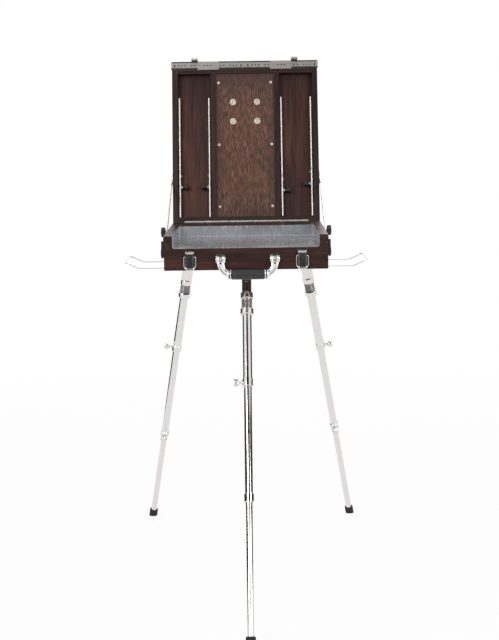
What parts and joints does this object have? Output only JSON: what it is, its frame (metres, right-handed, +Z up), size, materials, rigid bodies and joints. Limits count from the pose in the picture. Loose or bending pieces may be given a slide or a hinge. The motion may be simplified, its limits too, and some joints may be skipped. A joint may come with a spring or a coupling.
{
  "type": "french easel",
  "caption": "Wooden sketch-box easel with a lid that stands open, lift-out metal tray, carrying handle, draw latches and telescopic tripod legs.",
  "frame": {"origin": "on the floor, under the middle of the whole easel's box", "axes": "+X to the right seen from the front, +Y from the front to the back, +Z up"},
  "size_m": [0.621, 1.1842, 1.3577],
  "materials": {
    "walnut": "satin dark walnut stain",
    "walnut_panel": "satin dark walnut stain",
    "fibre_board": "rough fibrous board",
    "chrome_fitting": "polished",
    "chrome_leg": "polished",
    "satin_steel": "satin",
    "perforated_bar": "satin",
    "rod_steel": "satin",
    "clamp_steel": "satin",
    "pale_bolt": "matt nickel",
    "tray_sheet": "bright galvanised sheet",
    "wire_chrome": "polished wire",
    "spring_steel": "bright spring wire",
    "chrome_screw": "polished",
    "black_grip": "matt grained",
    "black_plastic": "moulded black",
    "rubber_foot": "matt"
  },
  "bodies": {
    "box": {"side_panel_left": "walnut", "side_panel_right": "walnut", "front_panel": "walnut", "back_panel": "walnut", "bottom_panel": "walnut", "inner_woodwork": "walnut", "front_fittings": "chrome_fitting", "underside_fittings": "chrome_fitting", "hinge_box_leaf": "satin_steel"},
    "lid": {"lid_frame": "walnut", "lid_back_panel": "walnut_panel", "lid_center_panel": "fibre_board", "hinge_lid_leaf": "satin_steel", "panel_screws": "satin_steel", "mount_plate": "pale_bolt", "bar_track": "satin_steel", "guide_rods": "rod_steel", "lid_fittings": "satin_steel"},
    "tray": {"tray": "tray_sheet"},
    "handle": {"handle_arms": "chrome_fitting", "handle_grip": "black_grip"},
    "stay_left": {"stay_left": "satin_steel"},
    "stay_knob_left": {"stay_knob_left": "black_plastic"},
    "latch_lever_left": {"latch_lever_left": "chrome_fitting"},
    "latch_bail_left": {"latch_bail_left": "chrome_fitting"},
    "side_loop_left": {"side_loop_left": "wire_chrome"},
    "strap_lug_left": {"strap_lug_left": "black_plastic"},
    "slide_bar_left": {"slide_bar_left": "perforated_bar"},
    "stay_right": {"stay_right": "satin_steel"},
    "stay_knob_right": {"stay_knob_right": "black_plastic"},
    "latch_lever_right": {"latch_lever_right": "chrome_fitting"},
    "latch_bail_right": {"latch_bail_right": "chrome_fitting"},
    "side_loop_right": {"side_loop_right": "wire_chrome"},
    "strap_lug_right": {"strap_lug_right": "black_plastic"},
    "slide_bar_right": {"slide_bar_right": "perforated_bar"},
    "panel_clamp_1": {"panel_clamp_1": "clamp_steel"},
    "panel_clamp_2": {"panel_clamp_2": "clamp_steel"},
    "panel_clamp_3": {"panel_clamp_3": "clamp_steel"},
    "panel_clamp_4": {"panel_clamp_4": "clamp_steel"},
    "leg_upper_front": {"leg_upper_front": "chrome_leg", "leg_spring_front": "spring_steel"},
    "leg_middle_front": {"leg_middle_front": "chrome_leg"},
    "leg_lower_front": {"leg_lower_front": "chrome_leg", "leg_foot_front": "rubber_foot"},
    "thumb_screw_front_1": {"thumb_screw_front_1": "chrome_screw"},
    "thumb_screw_front_2": {"thumb_screw_front_2": "chrome_screw"},
    "leg_upper_rear_left": {"leg_upper_rear_left": "chrome_leg", "leg_spring_rear_left": "spring_steel"},
    "leg_middle_rear_left": {"leg_middle_rear_left": "chrome_leg"},
    "leg_lower_rear_left": {"leg_lower_rear_left": "chrome_leg", "leg_foot_rear_left": "rubber_foot"},
    "thumb_screw_rear_left_1": {"thumb_screw_rear_left_1": "chrome_screw"},
    "thumb_screw_rear_left_2": {"thumb_screw_rear_left_2": "chrome_screw"},
    "leg_upper_rear_right": {"leg_upper_rear_right": "chrome_leg", "leg_spring_rear_right": "spring_steel"},
    "leg_middle_rear_right": {"leg_middle_rear_right": "chrome_leg"},
    "leg_lower_rear_right": {"leg_lower_rear_right": "chrome_leg", "leg_foot_rear_right": "rubber_foot"},
    "thumb_screw_rear_right_1": {"thumb_screw_rear_right_1": "chrome_screw"},
    "thumb_screw_rear_right_2": {"thumb_screw_rear_right_2": "chrome_screw"}
  },
  "joints": [
    {"name": "lid_hinge", "type": "hinge", "parent": "box", "child": "lid", "pos_m": [0, 0.22502, 0.91443], "axis": [-1, 0, 0], "range_deg": [-105, 0]},
    {"name": "stay_left_pivot", "type": "hinge", "parent": "lid", "child": "stay_left", "pos_m": [-0.2035, 0.27488, 1.02324], "axis": [1, 0, 0], "range_deg": [-127.3, 0]},
    {"name": "stay_knob_left_turn", "type": "hinge", "parent": "box", "child": "stay_knob_left", "pos_m": [-0.2035, -0.01128, 0.90613], "axis": [-1, 0, 0], "continuous": true},
    {"name": "latch_lever_left_hinge", "type": "hinge", "parent": "box", "child": "latch_lever_left", "pos_m": [-0.137, -0.22928, 0.87113], "axis": [-1, 0, 0], "range_deg": [0, 160]},
    {"name": "latch_bail_left_hinge", "type": "hinge", "parent": "latch_lever_left", "child": "latch_bail_left", "pos_m": [-0.137, -0.22928, 0.86213], "axis": [1, 0, 0], "range_deg": [-175, 0]},
    {"name": "side_loop_left_slide", "type": "slide", "parent": "box", "child": "side_loop_left", "axis": [-1, 0, 0], "range_m": [-0.06, 0.025]},
    {"name": "strap_lug_left_hinge", "type": "hinge", "parent": "box", "child": "strap_lug_left", "pos_m": [-0.2034, -0.21328, 0.89213], "axis": [0, 1, 0], "range_deg": [0, 80]},
    {"name": "slide_bar_left_slide", "type": "slide", "parent": "lid", "child": "slide_bar_left", "axis": [-1, 0, 0], "range_m": [0, 0.07]},
    {"name": "stay_right_pivot", "type": "hinge", "parent": "lid", "child": "stay_right", "pos_m": [0.2035, 0.27488, 1.02324], "axis": [1, 0, 0], "range_deg": [-127.3, 0]},
    {"name": "stay_knob_right_turn", "type": "hinge", "parent": "box", "child": "stay_knob_right", "pos_m": [0.2035, -0.01128, 0.90613], "axis": [1, 0, 0], "continuous": true},
    {"name": "latch_lever_right_hinge", "type": "hinge", "parent": "box", "child": "latch_lever_right", "pos_m": [0.137, -0.22928, 0.87113], "axis": [-1, 0, 0], "range_deg": [0, 160]},
    {"name": "latch_bail_right_hinge", "type": "hinge", "parent": "latch_lever_right", "child": "latch_bail_right", "pos_m": [0.137, -0.22928, 0.86213], "axis": [1, 0, 0], "range_deg": [-175, 0]},
    {"name": "side_loop_right_slide", "type": "slide", "parent": "box", "child": "side_loop_right", "axis": [1, 0, 0], "range_m": [-0.06, 0.025]},
    {"name": "strap_lug_right_hinge", "type": "hinge", "parent": "box", "child": "strap_lug_right", "pos_m": [0.2034, -0.21328, 0.89213], "axis": [0, -1, 0], "range_deg": [0, 80]},
    {"name": "slide_bar_right_slide", "type": "slide", "parent": "lid", "child": "slide_bar_right", "axis": [1, 0, 0], "range_m": [0, 0.07]},
    {"name": "panel_clamp_1_slide", "type": "slide", "parent": "lid", "child": "panel_clamp_1", "axis": [0, 0.2588, 0.9659], "range_m": [-0.06, 0.175]},
    {"name": "panel_clamp_2_slide", "type": "slide", "parent": "lid", "child": "panel_clamp_2", "axis": [0, 0.2588, 0.9659], "range_m": [-0.06, 0.175]},
    {"name": "panel_clamp_3_slide", "type": "slide", "parent": "lid", "child": "panel_clamp_3", "axis": [0, 0.2588, 0.9659], "range_m": [-0.06, 0.175]},
    {"name": "panel_clamp_4_slide", "type": "slide", "parent": "lid", "child": "panel_clamp_4", "axis": [0, 0.2588, 0.9659], "range_m": [-0.06, 0.175]},
    {"name": "tray_lift", "type": "slide", "parent": "box", "child": "tray", "axis": [0, 0, 1], "range_m": [0, 0.06]},
    {"name": "handle_swing", "type": "hinge", "parent": "box", "child": "handle", "pos_m": [0.004, -0.23328, 0.85713], "axis": [-1, 0, 0], "range_deg": [0, 150]},
    {"name": "leg_fold_front", "type": "hinge", "parent": "box", "child": "leg_upper_front", "pos_m": [0, -0.14128, 0.80913], "axis": [1, 0, 0], "range_deg": [0, 118.38]},
    {"name": "leg_middle_slide_front", "type": "slide", "parent": "leg_upper_front", "child": "leg_middle_front", "axis": [0, -0.4754, -0.8798], "range_m": [-0.107, 0.044]},
    {"name": "leg_lower_slide_front", "type": "slide", "parent": "leg_middle_front", "child": "leg_lower_front", "axis": [0, -0.4754, -0.8798], "range_m": [-0.313, 0.016]},
    {"name": "thumb_screw_front_1_turn", "type": "hinge", "parent": "leg_upper_front", "child": "thumb_screw_front_1", "pos_m": [0, -0.27629, 0.55928], "axis": [-1, 0, 0], "continuous": true},
    {"name": "thumb_screw_front_2_turn", "type": "hinge", "parent": "leg_middle_front", "child": "thumb_screw_front_2", "pos_m": [0, -0.41224, 0.30766], "axis": [0, 0.8798, -0.4754], "continuous": true},
    {"name": "leg_fold_rear_left", "type": "hinge", "parent": "box", "child": "leg_upper_rear_left", "pos_m": [-0.1564, 0.16512, 0.80913], "axis": [-0.985, 0, 0.1728], "range_deg": [0, 116.7]},
    {"name": "leg_middle_slide_rear_left", "type": "slide", "parent": "leg_upper_rear_left", "child": "leg_middle_rear_left", "axis": [-0.1543, 0.4496, -0.8798], "range_m": [-0.133, 0.018]},
    {"name": "leg_lower_slide_rear_left", "type": "slide", "parent": "leg_middle_rear_left", "child": "leg_lower_rear_left", "axis": [-0.1543, 0.4496, -0.8798], "range_m": [-0.287, 0.042]},
    {"name": "thumb_screw_rear_left_1_turn", "type": "hinge", "parent": "leg_upper_rear_left", "child": "thumb_screw_rear_left_1", "pos_m": [-0.20023, 0.29282, 0.55928], "axis": [-0.985, 0, 0.1728], "continuous": true},
    {"name": "thumb_screw_rear_left_2_turn", "type": "hinge", "parent": "leg_middle_rear_left", "child": "thumb_screw_rear_left_2", "pos_m": [-0.24838, 0.4331, 0.28478], "axis": [-0.0777, -0.8932, -0.4429], "continuous": true},
    {"name": "leg_fold_rear_right", "type": "hinge", "parent": "box", "child": "leg_upper_rear_right", "pos_m": [0.1564, 0.16512, 0.80913], "axis": [-0.985, 0, -0.1728], "range_deg": [0, 116.7]},
    {"name": "leg_middle_slide_rear_right", "type": "slide", "parent": "leg_upper_rear_right", "child": "leg_middle_rear_right", "axis": [0.1543, 0.4496, -0.8798], "range_m": [-0.112, 0.039]},
    {"name": "leg_lower_slide_rear_right", "type": "slide", "parent": "leg_middle_rear_right", "child": "leg_lower_rear_right", "axis": [0.1543, 0.4496, -0.8798], "range_m": [-0.308, 0.021]},
    {"name": "thumb_screw_rear_right_1_turn", "type": "hinge", "parent": "leg_upper_rear_right", "child": "thumb_screw_rear_right_1", "pos_m": [0.20023, 0.29282, 0.55928], "axis": [0.985, 0, 0.1728], "continuous": true},
    {"name": "thumb_screw_rear_right_2_turn", "type": "hinge", "parent": "leg_middle_rear_right", "child": "thumb_screw_rear_right_2", "pos_m": [0.24514, 0.42366, 0.30326], "axis": [0.0777, -0.8932, -0.4429], "continuous": true}
  ],
  "couplings": [
    {"joint": "stay_left_pivot", "follows": "lid_hinge", "ratio": 1.212},
    {"joint": "stay_right_pivot", "follows": "lid_hinge", "ratio": 1.212}
  ]
}
